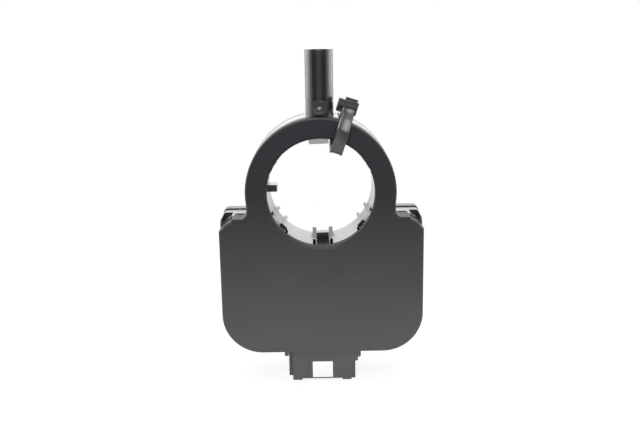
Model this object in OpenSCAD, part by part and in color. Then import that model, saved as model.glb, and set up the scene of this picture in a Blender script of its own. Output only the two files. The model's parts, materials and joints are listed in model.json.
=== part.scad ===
// Steering angle sensor. A geared rotor turns with the steering shaft inside a three-part
// housing and drives two measuring gears, whose magnets are read by chips on a circuit board.
// Origin: the bore axis at the front face. X points right, Y to the back and Z up.

/* [Housing] */
// Radius of the shaft bore in the front cover
bore_r = 20.2; // [18:0.1:23]
// Width of the lower body
body_w = 76.4; // [74:0.2:92]
// Distance from the bore axis down to the bottom of the lower body
body_drop = 62.1; // [60:0.1:74]
// Radius of the two bottom corners
corner_r = 15.3; // [8:0.1:17]
// Distance from the bore axis down to the cover's shoulders
shoulder_drop = 9.2; // [7:0.1:12]
// Radius of the housing's shoulder corners
shoulder_r = 3.2; // [2.6:0.1:6]
// How far the shoulders of the two rear parts lie below the cover's
shoulder_step = 0.2; // [0.1:0.05:1.2]
// Depth of the front cover
front_depth = 6.5; // [6:0.1:7.5]
// Depth of the main housing
middle_depth = 12; // [11:0.1:14]
// Depth of the rear cover
rear_depth = 5.3; // [4.5:0.1:7]
// Thickness of the outer walls
wall = 1.7; // [1.4:0.05:2.2]
// Thickness of the front and rear plates
plate_t = 2; // [1.6:0.1:2.6]
// Rounding of the outer edges
edge_r = 0.9; // [0.5:0.05:1.3]
// Bevel round the mouth of the bore
bore_bevel = 1; // [0.4:0.1:1.4]
// Height of the land on the back that seats on the column
land_h = 2.4; // [1.8:0.1:3.5]
// Thickness of the partition between gears and board
partition_t = 1.2; // [1:0.1:1.8]
// Length of the lap joints between the housing parts
lap_len = 1.2; // [0.8:0.1:1.6]

/* [Stalk] */
// Radius of the stalk's post
stalk_r = 5; // [4.4:0.1:5.6]
// Radius of the stalk's base
stalk_base_r = 4.8; // [4.2:0.1:5.4]
// Height of the stalk's end above the bore axis
stalk_top = 52; // [46:0.5:60]
// Length of the base below the post
stalk_base_len = 5.7; // [4.8:0.1:6.5]
// Distance of the stalk's axis behind the front face
stalk_y = 7.3; // [6.6:0.1:9]
// Half width of the slot in the stalk's front
stalk_slot = 2.3; // [1.9:0.1:2.8]
// Half width of the rib inside the slot
stalk_rib = 0.85; // [0.6:0.05:1.1]
// Radius of the domed peg at the foot of the stalk
peg_r = 1.8; // [1.4:0.1:2.1]

/* [Rotor] */
// Thickness of the rotor's sleeve
rotor_wall = 2; // [1.6:0.1:2.4]
// Radius that the two drive tabs leave free
tab_tip_r = 17.1; // [17:0.1:18.5]
// Width of a drive tab
tab_w = 4.7; // [3.4:0.1:5]
// Width of the tongue that carries a drive tab
tongue_w = 5.4; // [5:0.1:6]
// Width of a clip tongue
clip_w = 7.6; // [6:0.1:8]
// Width of the slots beside a tongue
slot_w = 1.1; // [0.9:0.1:1.6]
// Width of the drive key
key_w = 2.3; // [1.8:0.1:3.4]
// Depth of the drive key along the bore
key_len = 6; // [4:0.1:8]
// Angle from a drive tab to the clip tongues beside it
clip_angle = 55; // [48:1:66]
// Turn of the tabs and clips in the bore in degrees
rotor_lean = 1.6; // [-4:0.1:4]

/* [Gears] */
// Module of all teeth
gear_module = 0.7; // [0.6:0.05:0.8]
// Height of the rotor's gear rim from the sleeve to the pitch line
gear_rim = 3.2; // [2.8:0.1:3.8]
// Width of the gears along their axes
gear_face = 5; // [4:0.1:5.6]
// Teeth of the first measuring gear
teeth_a = 26; // [24:1:30]
// Teeth of the second measuring gear
teeth_b = 28; // [24:1:30]
// Angle of the measuring gears from straight down
gear_angle = 24; // [22:1:30]
// Play between meshing flanks
backlash = 0.16; // [0.1:0.01:0.24]
// Radius of a measuring magnet
magnet_r = 4; // [3:0.1:4.4]
// Thickness of a measuring magnet
magnet_t = 3; // [2:0.1:3.6]

/* [Electronics] */
// Thickness of the circuit board
board_t = 1.6; // [1:0.1:2]
// Distance from the partition to the board
board_gap = 1.6; // [1.4:0.1:2]
// Number of terminals
terminal_count = 6; // [4:1:6]
// Distance between terminals
terminal_pitch = 2.54; // [2:0.02:3]

/* [Connector] */
// Shift of the connector to the right of the bore
conn_x = -0.45; // [-2:0.05:2]
// Half width of the connector's front part
conn_front_w = 11.45; // [10.5:0.05:12.5]
// Half width of the connector's rear part
conn_rear_w = 13.05; // [12.6:0.05:14]
// Distance from the front face to the connector's front
conn_y = 3.2; // [2.4:0.1:4]
// Depth of the connector's front part
conn_front_d = 4.5; // [4:0.1:7]
// Depth of the whole connector
conn_d = 16.4; // [15:0.1:18]
// Height of the connector below the body
conn_h = 12.7; // [12:0.1:15]
// Thickness of the connector's walls
conn_wall = 2; // [1.6:0.1:2.3]
// Height of the two feet under the connector's front
foot_h = 0.6; // [0.3:0.1:1]
// Width of the white label
label_w = 7.8; // [6:0.1:10]
// Height of the white label
label_h = 6.5; // [5:0.1:8]

/* [Cable tie] */
// Lean of the tie to the right of the stalk in degrees
tie_angle = 17.7; // [16:0.1:40]
// Width of the tie's strap
tie_w = 4.8; // [3.6:0.1:5]
// Thickness of the tie's strap
tie_t = 1; // [0.8:0.05:1.2]
// Width of the tie's head
tie_head_w = 7.4; // [6:0.1:8]

/* [Hidden] */
$fn = 96;

// Clearances
run = 0.06;
slack = 0.1;
axial = 0.15;
sweep = 0.4;
skin = 0.2;

// Colours
black_matt = [0.13, 0.13, 0.14];
black_gloss = [0.07, 0.07, 0.08];
gear_white = [0.86, 0.85, 0.8];
board_green = [0.1, 0.36, 0.2];
chip_black = [0.1, 0.1, 0.11];
metal = [0.78, 0.76, 0.7];

// Rotor and gears
rotor_in = bore_r - skin;
rotor_out = rotor_in + rotor_wall;
hub_teeth = 2 * round((rotor_out + gear_rim) / gear_module);
hub_pitch = hub_teeth * gear_module / 2;
addendum = gear_module;
dedendum = 1.25 * gear_module;
pressure = 20;
collar_t = 1.2;
ring_r = hub_pitch + addendum + sweep + wall;
neck_x = ring_r - 0.3;

// Stack along the bore, from the front
total_depth = front_depth + middle_depth + rear_depth;
seam_rear = front_depth + middle_depth;
back_in = total_depth - plate_t;
collar_len = 2.4;
gear_y0 = plate_t + collar_len + sweep;
gear_y1 = gear_y0 + gear_face;
part_y0 = gear_y1 + sweep;
part_y1 = part_y0 + partition_t;
board_y0 = part_y1 + board_gap;
board_y1 = board_y0 + board_t;
rotor_y0 = plate_t + axial;
rotor_y1 = back_in - axial;

// Lower body
hw = body_w / 2;
rear_shoulder = shoulder_drop + shoulder_step;
scallop_w = 5;
scallop_h = 4.7;
scallop_points = [[-1, 0], [-0.86, -0.23], [-0.42, -0.5], [-0.3, -0.66], [0, -1]];
notch_fillet = 1.9;
terrace = 3;
terrace_out = 1.3;
seam_w = 0.35;

// Stalk
post_z = ring_r + stalk_base_len;
slot_z = post_z - 0.2;
slot_d = 3.6;
rib_sink = 0.6;

// Measuring gears
mesh_gap = 0.05;
reach_a = (hub_teeth + teeth_a) * gear_module / 2 + mesh_gap;
reach_b = (hub_teeth + teeth_b) * gear_module / 2 + mesh_gap;
dir_a = 270 - gear_angle;
dir_b = 270 + gear_angle;
spot_a = [reach_a * cos(dir_a), reach_a * sin(dir_a)];
spot_b = [reach_b * cos(dir_b), reach_b * sin(dir_b)];
stub_r = 1.6;
journal_r = magnet_r + 1.2;
thrust_r = journal_r + 1.1;
boss_wall = 1.4;
magnet_y1 = part_y1 - 0.2;

// Rotor details
tongue_y = 10.4;
tab_slant = 1.2;
tab_len = 3.6;
rib_t = 1.5;
rib_tip = 17.6;
rib_gap = 0.1;
rib_land = 1.3;
clip_y = 7.6;
clip_hook_y = 5.4;
clip_hook_h = 0.9;
clip_rib_t = 1.1;
clip_rib_tip = 18.7;
clip_rib_spread = 2.4;
key_y = 12;
key_tip = tab_tip_r - 0.1;

// Shoulder latch
latch_w = 4;
latch_t = 1.1;
latch_len = 4.2;
latch_x = hw - scallop_w - latch_w - 0.4;
latch_eye = [2.2, 1.6];

// Board and its pins
stake_r = 0.9;
stake_head_r = 1.7;
stake_head_h = 0.8;
stake_foot_r = 2.2;
board_edge = 0.5;
board_top = rear_shoulder + 5;
board_low = body_drop - wall - board_edge;
stakes = [[hw - 8, -(rear_shoulder + 13.6)], [hw - 11, -(body_drop - 11)]];

// Parts on the board, laid out upwards from the terminals' row: width, height and thickness
part_gap = 1.1;
lead_out = 0.8;
lead_len = 0.9;
lead_w = 0.4;
sensor = [5, 4, 1.1];
controller = [9, 9, 1.4];
transceiver = [4.9, 3.9, 1.5];
regulator = [6.5, 6.1, 2.3];
choke = [4.5, 3.2, 2.8];
can = [5, 3.2, 1];
big_cap = [7.3, 4.3, 2.8];
small_cap = [2, 1.25, 1.2];
resistor = [1.6, 0.8, 0.5];
small_caps = 6;
resistor_rows = 4;

// Connector
conn_top = -(body_drop + slack);
conn_low = -(body_drop + conn_h);
conn_y1 = conn_y + conn_d;
conn_split = conn_y + conn_front_d;
socket_floor = conn_top - 3;
socket_x = conn_front_w - conn_wall + 0.2;
foot_w = 3.7;
foot_round = 0.4;
pin = 0.64;
pin_y = part_y1 + 0.8;
pin_low = conn_low + 2.7;
pin_board_z = -(body_drop - wall - 2.9);
pin_tail = 1;
tail_hole = 0.6;
cap_z = pin_board_z + 2 * part_gap + small_cap[1] / 2;
chip_foot = cap_z + small_cap[1] / 2 + part_gap + lead_out;
chip_z = chip_foot + controller[1] / 2;
resistor_x = (controller[0] + resistor[0]) / 2 + part_gap;
side_x = resistor_x + (resistor[0] + big_cap[0]) / 2 + part_gap;
terminal_xs =
    [for (i = [0 : terminal_count - 1]) conn_x + (i - (terminal_count - 1) / 2) * terminal_pitch];
label_t = 0.12;
label_drop = 0.5;
label_shift = 0.2;
groove = [0.6, 0.25, 7.4];
groove_x = -5.5;
rib_y = conn_y + 1.4;
lug_left = [-(conn_rear_w + 1.45), -(conn_rear_w - 0.1), 2.6];
lug_right = [conn_rear_w + 0.8, conn_rear_w + 2, 3.3];
lug_inner = [conn_front_w - 0.2, conn_rear_w + 0.9, 4.9];
lug_round = 0.5;

// Cable tie, in the plane that leans with it
tie_shift = 0.4;
tie_seat = 0.25;
tie_front = -(0.4 + tie_t / 2);
tie_back = total_depth + 0.35 + tie_t / 2;
tie_in = tab_tip_r - 1.2;
tie_out = ring_r + tie_seat + tie_t / 2;
tie_fold = 1.5;
tie_head_y = [1.6, 7.4];
tie_head_z = [ring_r + 2.6, ring_r + 7.4];
tie_tail = 0.9;
tie_tail_y = 4.3;
tie_head_shift = -0.8;

// Outlines in the X-Z plane
function arc(cx, cy, r, a0, a1, n) =
    [for (i = [0 : n]) let (a = a0 + (a1 - a0) * i / n) [cx + r * cos(a), cy + r * sin(a)]];

// Rim of a plate whose front edge is rounded: half of a section, radius against depth
function rim(r, depth, f) =
    concat([[0, 0]], arc(r - f, f, f, -90, 0, 6), [[r, depth], [0, depth]]);

// Section of a straight plate with both front edges rounded
function beam(x0, x1, depth, f) =
    concat(arc(x0 + f, f, f, 180, 270, 6), arc(x1 - f, f, f, -90, 0, 6), [[x1, depth], [x0, depth]]);

// Extrude an outline between two depths
module slab(y0, y1) {
    translate([0, y1, 0]) rotate([90, 0, 0]) linear_extrude(y1 - y0) children();
}

// Revolve a section about the bore direction
module turned(points) {
    rotate([-90, 0, 0]) rotate_extrude() polygon(points);
}

module tube(r_in, r_out, y0, y1) {
    slab(y0, y1) difference() {
        circle(r_out);
        circle(r_in);
    }
}

module both_sides() {
    children();
    mirror([1, 0, 0]) children();
}

module rounded_2d(x0, x1, z0, z1, r0, r1) {
    for (x = [x0 + r0, x1 - r0]) translate([x, z0 + r0]) circle(r0);
    for (x = [x0 + r1, x1 - r1]) translate([x, z1 - r1]) circle(r1);
    translate([x0 + r0, z0]) square([x1 - x0 - 2 * r0, z1 - z0 - r1]);
    translate([x0, z0 + r0]) square([x1 - x0, z1 - z0 - r0 - r1]);
    translate([x0 + r1, z1 - r1 - 1]) square([x1 - x0 - 2 * r1, r1 + 1]);
}

// Corner that is cut from the cover's shoulder, as two shallow scallops
module scallop_2d(shift) {
    z = -shoulder_drop;
    polygon(concat([[hw + 3, z + 3], [hw - scallop_w + shift, z + 3]],
        [for (p = scallop_points) [hw + p[0] * scallop_w + shift, z + p[1] * scallop_h + shift]],
        [[hw + 3, z - scallop_h + shift]]));
}

module notch_fillet_2d(drop) {
    x = neck_x;
    polygon(concat([[x - 1, -drop - 1], [x - 1, notch_fillet - drop]],
        arc(x + notch_fillet, notch_fillet - drop, notch_fillet, 180, 270, 6),
        [[x + notch_fillet, -drop - 1]]));
}

// Outline of the main housing and rear cover, drawn in by d
module body_2d(d) {
    circle(ring_r - d);
    translate([-(neck_x - d), -(rear_shoulder + 2 + d)]) square([2 * (neck_x - d), rear_shoulder + 2 + d]);
    rounded_2d(-(hw - d), hw - d, -(body_drop - d), -(rear_shoulder + d), corner_r - d,
        max(shoulder_r - d, 0.5));
}

// Room inside the covers, drawn in by d, with full material at the scalloped shoulders
module room_2d(d) {
    circle(ring_r - d);
    rounded_2d(-(hw - d), hw - d, -(body_drop - d), -(shoulder_drop + d + scallop_h * 0.75),
        corner_r - d, 2);
}

// Plate with the body's outline and a rounded outer edge, front face at depth zero
module rounded_plate(depth, drop, corner) {
    turned(rim(ring_r, depth, edge_r));
    translate([0, 0, -(drop + 2)]) linear_extrude(drop + 2) polygon(beam(-neck_x, neck_x, depth, edge_r));
    translate([0, 0, -(body_drop - corner_r)]) linear_extrude(body_drop - corner_r - drop - corner)
        polygon(beam(-hw, hw, depth, edge_r));
    rotate([0, 90, 0]) translate([0, 0, -(hw - corner_r)]) linear_extrude(2 * (hw - corner_r))
        polygon(beam(drop, body_drop, depth, edge_r));
    rotate([0, 90, 0]) translate([0, 0, -(hw - max(corner, scallop_w))])
        linear_extrude(2 * (hw - max(corner, scallop_w)))
            polygon(beam(drop, body_drop - corner_r, depth, edge_r));
    both_sides() translate([hw - corner_r, 0, -(body_drop - corner_r)])
        turned(rim(corner_r, depth, edge_r));
}

// Bevel of width c along the straight front edge from p to q
module edge_cut(p, q, c) {
    v = q - p;
    translate([p[0], 0, p[1]]) rotate([0, -atan2(v[1], v[0]), 0]) rotate([45, 0, 0])
        translate([-c / 2, -c, -c / sqrt(2)]) cube([norm(v) + c, 2 * c, 2 * c]);
}

// Height of a part that stands above another one beside the controller
function stacked(lower, upper, reach) =
    chip_foot + lower[1] + lead_out + part_gap + reach + upper[1] / 2;

// Gear teeth
function inv(a) = tan(a) * 180 / PI - a;

function half_tooth(rho, n) =
    let (base = n * gear_module / 2 * cos(pressure))
    90 / n + inv(pressure) - inv(acos(min(1, base / rho))) - backlash / 4 / rho * 180 / PI;

function tooth_radii(n) =
    let (pitch = n * gear_module / 2, base = pitch * cos(pressure))
    [max(base, pitch - dedendum + 0.02), pitch, pitch + addendum * 0.92];

module gear_2d(n) {
    root = n * gear_module / 2 - dedendum;
    radii = tooth_radii(n);
    start = half_tooth(radii[0], n);
    polygon([for (i = [0 : n - 1]) let (c = 360 * i / n) each concat(
        [root * [cos(c - start), sin(c - start)]],
        [for (rho = radii) let (a = c - half_tooth(rho, n)) rho * [cos(a), sin(a)]],
        [for (k = [2 : -1 : 0]) let (a = c + half_tooth(radii[k], n)) radii[k] * [cos(a), sin(a)]],
        [root * [cos(c + start), sin(c + start)]])]);
}

// Turn of a measuring gear that puts a gap opposite the rotor's tooth
function mesh_turn(dir, n) = dir * (1 + hub_teeth / n) + 180 + 180 / n;

// Place a shape, drawn on top of the bore, at an angle counted from the right
module round_bore(a) {
    rotate([0, 90 - a, 0]) children();
}

// Front cover
module latch_tongue() {
    difference() {
        translate([latch_x, front_depth - 2, -(shoulder_drop + latch_t)])
            cube([latch_w, 2 + latch_len, latch_t]);
        translate([latch_x + (latch_w - latch_eye[0]) / 2, front_depth + latch_len - 1 - latch_eye[1],
            -(shoulder_drop + latch_t + 1)])
            cube([latch_eye[0], latch_eye[1], latch_t + 2]);
    }
}

module gear_boss(spot) {
    translate([spot[0], 0, spot[1]])
        tube(stub_r + run, stub_r + boss_wall, plate_t - slack, gear_y0 - axial);
}

module cover_scallop_edges() {
    z = -shoulder_drop;
    points = [for (p = scallop_points) [hw + p[0] * scallop_w, z + p[1] * scallop_h]];
    for (i = [0 : len(points) - 2]) edge_cut(points[i], points[i + 1], edge_r * 0.6);
}

module front_cover() {
    color(black_matt) {
        difference() {
            union() {
                difference() {
                    union() {
                        rounded_plate(front_depth, shoulder_drop, 0);
                        both_sides() slab(edge_r, front_depth) notch_fillet_2d(shoulder_drop);
                    }
                    both_sides() slab(-1, front_depth + 1) scallop_2d(0);
                    both_sides() cover_scallop_edges();
                    slab(plate_t, front_depth + 1) room_2d(wall);
                    slab(front_depth - lap_len, front_depth + 1) room_2d(wall / 2);
                }
                tube(rotor_out + run, rotor_out + run + collar_t, plate_t - slack, plate_t + collar_len);
                gear_boss(spot_a);
                gear_boss(spot_b);
                both_sides() latch_tongue();
            }
            slab(-1, plate_t + slack) circle(bore_r);
            turned([[0, -1], [bore_r + bore_bevel + 1, -1], [bore_r, bore_bevel], [0, bore_bevel]]);
        }
    }
}

// Main housing with stalk and connector
module stalk() {
    front = stalk_y - stalk_r - 1;
    difference() {
        union() {
            translate([0, stalk_y, post_z]) cylinder(h = stalk_top - post_z, r = stalk_r);
            translate([0, stalk_y, ring_r - 3]) cylinder(h = post_z - ring_r + 3, r = stalk_base_r);
        }
        slab(-5, front_depth) circle(ring_r + slack);
        slab(-5, total_depth + 5) circle(ring_r - 1.2);
        for (side = [-1, 1])
            translate([side * (stalk_slot + stalk_rib) / 2 - (stalk_slot - stalk_rib) / 2, front, slot_z])
                cube([stalk_slot - stalk_rib, slot_d + 1, stalk_top]);
        translate([-stalk_rib - 0.1, front, stalk_top - 0.4]) cube([2 * stalk_rib + 0.2, slot_d + 1, 1]);
        translate([-stalk_rib - 0.1, front, slot_z]) cube([2 * stalk_rib + 0.2, rib_sink + 1, stalk_top]);
    }
}

module peg() {
    dome = 0.7;
    front = stalk_y - stalk_base_r - 1.6;
    sag_r = (peg_r * peg_r + dome * dome) / (2 * dome);
    translate([0, 0, ring_r + 0.2 + peg_r]) {
        slab(front + dome, stalk_y) circle(peg_r);
        intersection() {
            translate([0, front + sag_r, 0]) sphere(sag_r);
            slab(front - 1, front + dome + 0.1) circle(peg_r);
        }
    }
}

// Outline of a foot or lug with rounded lower corners
module foot_2d(x0, x1, z0, z1, r) {
    translate([x0, z0 + r]) square([x1 - x0, z1 - z0 - r]);
    translate([x0 + r, z0]) square([x1 - x0 - 2 * r, z1 - z0]);
    for (x = [x0 + r, x1 - r]) translate([x, z0 + r]) circle(r);
}

module lug(size, depth) {
    slab(conn_y, conn_y + depth) foot_2d(size[0], size[1], conn_top - size[2], conn_top, lug_round);
}

module connector_shell() {
    front_top = conn_top - conn_low - foot_h;
    translate([conn_x, 0, 0]) difference() {
        union() {
            translate([-conn_front_w, conn_y, conn_low + foot_h])
                cube([2 * conn_front_w, conn_front_d + 1, front_top]);
            translate([-conn_rear_w, conn_split, conn_low])
                cube([2 * conn_rear_w, conn_y1 - conn_split, conn_top - conn_low]);
            for (x = [-conn_front_w, conn_front_w - foot_w])
                slab(conn_y, conn_split + 1) foot_2d(x, x + foot_w, conn_low, conn_low + conn_h / 2, foot_round);
            translate([conn_front_w - 0.1, rib_y, conn_low])
                cube([conn_rear_w - conn_front_w, conn_split - rib_y + 1, conn_top - conn_low]);
            translate([-conn_rear_w, front_depth + slack, conn_top - 1])
                cube([2 * conn_rear_w, middle_depth - 2 * slack, 1 + slack + wall]);
            lug(lug_left, conn_front_d + 1);
            lug(lug_right, conn_front_d / 2);
            lug(lug_inner, conn_front_d + 1);
        }
        translate([-socket_x, conn_y + conn_wall, conn_low - 1])
            cube([2 * socket_x, conn_d - 2 * conn_wall, socket_floor - conn_low + 1]);
        translate([groove_x, conn_y - 1, conn_low + foot_h - 0.1])
            cube([groove[0], groove[1] + 1, groove[2]]);
    }
}

module housing_walls() {
    difference() {
        union() {
            slab(front_depth, seam_rear - seam_w) body_2d(0);
            slab(seam_rear - seam_w - slack, seam_rear) body_2d(seam_w);
            slab(front_depth - lap_len + slack, seam_rear + lap_len - slack) difference() {
                room_2d(wall / 2 + slack);
                room_2d(wall);
            }
            both_sides() slab(front_depth, seam_rear - seam_w) notch_fillet_2d(rear_shoulder);
        }
        slab(front_depth - lap_len, part_y0) room_2d(wall);
        slab(part_y1, seam_rear + lap_len) room_2d(wall);
        both_sides() slab(front_depth - 1, front_depth + terrace) scallop_2d(terrace_out);
        both_sides() translate([latch_x - slack, front_depth - 1, -(shoulder_drop + latch_t + slack)])
            cube([latch_w + 2 * slack, latch_len + 1 + slack, 5]);
        slab(part_y0 - 1, part_y1 + 1) circle(rotor_out + run + collar_t / 2);
        for (spot = [spot_a, spot_b])
            translate([spot[0], 0, spot[1]]) slab(part_y0 - 1, part_y1 + 1) circle(journal_r + run);
        for (x = terminal_xs) translate([x - pin / 2 - slack / 2, pin_y - pin / 2 - slack / 2, -body_drop - 1])
            cube([pin + slack, pin + slack, wall + 2]);
    }
}

module latch_nub() {
    nub_x = latch_x + (latch_w - latch_eye[0]) / 2 + slack;
    nub_y = front_depth + latch_len - 1 - latch_eye[1] + slack;
    translate([nub_x, nub_y, -(shoulder_drop + latch_t + slack + 0.5)])
        cube([latch_eye[0] - 2 * slack, latch_eye[1] - 2 * slack, latch_t + 0.3]);
}

module board_stake(spot) {
    translate([spot[0], 0, spot[1]]) {
        slab(part_y1 - 0.3, board_y0) circle(stake_foot_r);
        slab(board_y0 - 0.3, board_y1 + 0.3) circle(stake_r);
        slab(board_y1 + slack / 2, board_y1 + stake_head_h) circle(stake_head_r);
    }
}

module main_housing() {
    color(black_gloss) {
        difference() {
            union() {
                housing_walls();
                tube(rotor_out + run, rotor_out + run + collar_t, part_y0, seam_rear - 1);
                stalk();
                peg();
                connector_shell();
                both_sides() latch_nub();
                both_sides() for (spot = stakes) board_stake(spot);
            }
            for (x = terminal_xs)
                translate([x - pin / 2 - slack / 2, pin_y - pin / 2 - slack / 2, socket_floor - 1])
                    cube([pin + slack, pin + slack, wall + 5]);
        }
    }
}

// Rear cover
module rear_land(d, y1) {
    translate([0, y1, 0]) rotate([90, 0, 0]) linear_extrude(y1 - back_in)
        rounded_2d(-(hw - 8 - d), hw - 8 - d, -(body_drop - 6 - d), -(ring_r + 4 + d), 5 - d, 5 - d);
}

module rear_cover() {
    color(black_gloss) {
        difference() {
            union() {
                difference() {
                    union() {
                        translate([0, total_depth, 0]) mirror([0, 1, 0]) {
                            rounded_plate(rear_depth, rear_shoulder, shoulder_r);
                            both_sides() translate([hw - shoulder_r, 0, -(rear_shoulder + shoulder_r)])
                                turned(rim(shoulder_r, rear_depth, edge_r));
                            both_sides() slab(edge_r, rear_depth) notch_fillet_2d(rear_shoulder);
                        }
                    }
                    slab(seam_rear - 1, back_in) room_2d(wall);
                    slab(seam_rear - 1, seam_rear + lap_len) room_2d(wall / 2);
                }
                rear_land(0, total_depth + land_h);
            }
            rear_land(plate_t, back_in + land_h);
            slab(back_in - 1, total_depth + 1) circle(bore_r + 0.4);
        }
    }
}

// Rotor
module tongue_slots(a, width, y1) {
    round_bore(a) for (side = [-1, 1])
        translate([side * (width + slot_w) / 2 - slot_w / 2, rotor_y0 - 1, rotor_in - 1.5])
            cube([slot_w, y1 - rotor_y0 + 1, rotor_wall + 1.5]);
}

// Ridge along the bore: section in depth against radius, drawn at the top of the bore
module ridge(width, points) {
    translate([-width / 2, 0, 0]) rotate([90, 0, 90]) linear_extrude(width) polygon(points);
}

module drive_tab(a) {
    round_bore(a) ridge(tab_w, [[tongue_y - 0.4, rotor_in + 0.4], [tongue_y - 0.4, rotor_in],
        [tongue_y + tab_slant - 0.4, tab_tip_r], [tongue_y + tab_len, tab_tip_r],
        [tongue_y + tab_len, rotor_in + 0.4]]);
}

module ramp_ribs(a, spread, width, tip) {
    round_bore(a) for (side = [-1, 1]) translate([side * spread, 0, 0])
        ridge(width, [[tongue_y + 0.4, rotor_in + 0.4], [tongue_y + 0.4, rotor_in],
            [rotor_y1 - rib_land, tip], [rotor_y1, tip], [rotor_y1, rotor_in + 0.4]]);
}

// Hook across a clip tongue, which snaps into a groove of the shaft's hub
module clip_hook(a) {
    hook_r = rotor_in - clip_hook_h;
    round_bore(a) intersection() {
        ridge(clip_w, [[clip_hook_y, rotor_in + 0.6], [clip_hook_y, rotor_in - 0.5], [clip_hook_y + 0.3, hook_r - 1],
            [clip_hook_y + 1.1, hook_r - 1], [clip_y, rotor_in - 0.4], [clip_y, rotor_in + 0.6]]);
        slab(clip_hook_y - 1, clip_y + 1) difference() {
            circle(rotor_in + 0.3);
            circle(hook_r);
        }
    }
}

tab_angles = [90 + rotor_lean, 270 + rotor_lean];
clip_angles = [for (a = tab_angles) for (side = [-1, 1]) a + side * clip_angle];

module rotor_hub() {
    color(black_gloss) {
        difference() {
            union() {
                turned([[rotor_in, rotor_y0 + 0.5], [rotor_in + 0.5, rotor_y0], [rotor_out, rotor_y0],
                    [rotor_out, rotor_y1], [rotor_in + 0.4, rotor_y1], [rotor_in, rotor_y1 - 0.4]]);
                slab(gear_y0, gear_y1) difference() {
                    gear_2d(hub_teeth);
                    circle(rotor_out - 0.2);
                }
            }
            for (a = tab_angles) tongue_slots(a, tongue_w, tongue_y);
            for (a = clip_angles) tongue_slots(a, clip_w, clip_y);
        }
        for (a = tab_angles) {
            drive_tab(a);
            ramp_ribs(a, (tab_w + rib_t) / 2 + rib_gap, rib_t, rib_tip);
        }
        for (a = clip_angles) {
            clip_hook(a);
            ramp_ribs(a, clip_rib_spread, clip_rib_t, clip_rib_tip);
        }
        round_bore(180) ridge(key_w, [[key_y, rotor_in + 0.4], [key_y, key_tip],
            [key_y + key_len, key_tip], [key_y + key_len, rotor_in + 0.4]]);
    }
}

// Measuring gears
module measuring_gear(spot, dir, n) {
    web_r = n * gear_module / 2 - dedendum - 1.2;
    color(gear_white) translate([spot[0], 0, spot[1]]) difference() {
        union() {
            slab(gear_y0, gear_y1) rotate(mesh_turn(dir, n)) gear_2d(n);
            slab(plate_t + axial, gear_y0 + 0.5) circle(stub_r);
            slab(gear_y1 - 0.5, part_y0 - axial) circle(thrust_r);
            slab(gear_y1 - 0.5, magnet_y1) circle(journal_r);
        }
        slab(magnet_y1 - magnet_t, magnet_y1 + 1) circle(magnet_r + slack / 4);
        tube(stub_r + 1.4, web_r, gear_y0 - 1, gear_y0 + 1.5);
    }
}

module measuring_gear_a() { measuring_gear(spot_a, dir_a, teeth_a); }

module measuring_gear_b() { measuring_gear(spot_b, dir_b, teeth_b); }

module magnet(spot) {
    color(metal) translate([spot[0], 0, spot[1]]) slab(magnet_y1 - magnet_t, magnet_y1) circle(magnet_r);
}

module magnet_a() { magnet(spot_a); }

module magnet_b() { magnet(spot_b); }

// Electronics
module circuit_board() {
    color(board_green) slab(board_y0, board_y1) difference() {
        rounded_2d(-(hw - wall - board_edge), hw - wall - board_edge, -board_low, -board_top,
            corner_r - wall - board_edge, 1.5);
        circle(rotor_out + run + collar_t + 0.8);
        for (side = [-1, 1]) for (spot = stakes)
            translate([side * spot[0], spot[1]]) circle(stake_r + slack);
        for (x = terminal_xs) translate([x, pin_board_z]) circle(tail_hole);
    }
}

// Body of a part on the back of the board: size is width, height and thickness
module block(x, z, size) {
    translate([x - size[0] / 2, board_y1, z - size[1] / 2]) cube([size[0], size[2], size[1]]);
}

// Chip on the board's front for side -1, on its back for side 1
module chip(x, z, size, side) {
    shift = side < 0 ? -(board_t + size[2]) : 0;
    color(chip_black) translate([0, shift, 0]) block(x, z, size);
}

// Gull-wing leads on two sides of a chip, joined to its body
module leads(x, z, size, side, count, pitch) {
    y = side < 0 ? board_y0 - size[2] / 2 : board_y1;
    color(metal) for (i = [0 : count - 1]) for (s = [-1, 1])
        translate([x + (i - (count - 1) / 2) * pitch - lead_w / 2, y,
            z + s * (size[1] / 2 + lead_out - lead_len / 2) - lead_len / 2])
            cube([lead_w, size[2] / 2, lead_len]);
}

module chip_with_leads(x, z, size, side, count, pitch) {
    chip(x, z, size, side);
    leads(x, z, size, side, count, pitch);
}

module sensor_chip_a() { chip_with_leads(spot_a[0], spot_a[1], sensor, -1, 4, 1.27); }

module sensor_chip_b() { chip_with_leads(spot_b[0], spot_b[1], sensor, -1, 4, 1.27); }

module microcontroller() { chip_with_leads(0, chip_z, controller, 1, 10, 0.8); }

module bus_transceiver() {
    chip_with_leads(side_x, chip_foot + transceiver[1] / 2, transceiver, 1, 4, 1.27);
}

module voltage_regulator() {
    chip_with_leads(-side_x, chip_foot + regulator[1] / 2, regulator, 1, 3, 2.28);
}

module choke_coil() { chip_with_leads(side_x, stacked(transceiver, choke, lead_out), choke, 1, 2, 2.5); }

module crystal() { color(metal) block(0, chip_z + (controller[1] + can[1]) / 2 + lead_out + part_gap, can); }

module supply_capacitor() {
    color([0.75, 0.55, 0.2]) block(-side_x, stacked(regulator, big_cap, 0), big_cap);
}

module capacitors() {
    color([0.62, 0.5, 0.36]) for (i = [0 : small_caps - 1])
        block((i - (small_caps - 1) / 2) * (small_cap[0] + part_gap), cap_z, small_cap);
}

module resistors() {
    color([0.2, 0.2, 0.22]) for (side = [-1, 1]) for (i = [0 : resistor_rows - 1])
        block(side * resistor_x, chip_z + (i - (resistor_rows - 1) / 2) * (resistor[1] + part_gap), resistor);
}

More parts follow.
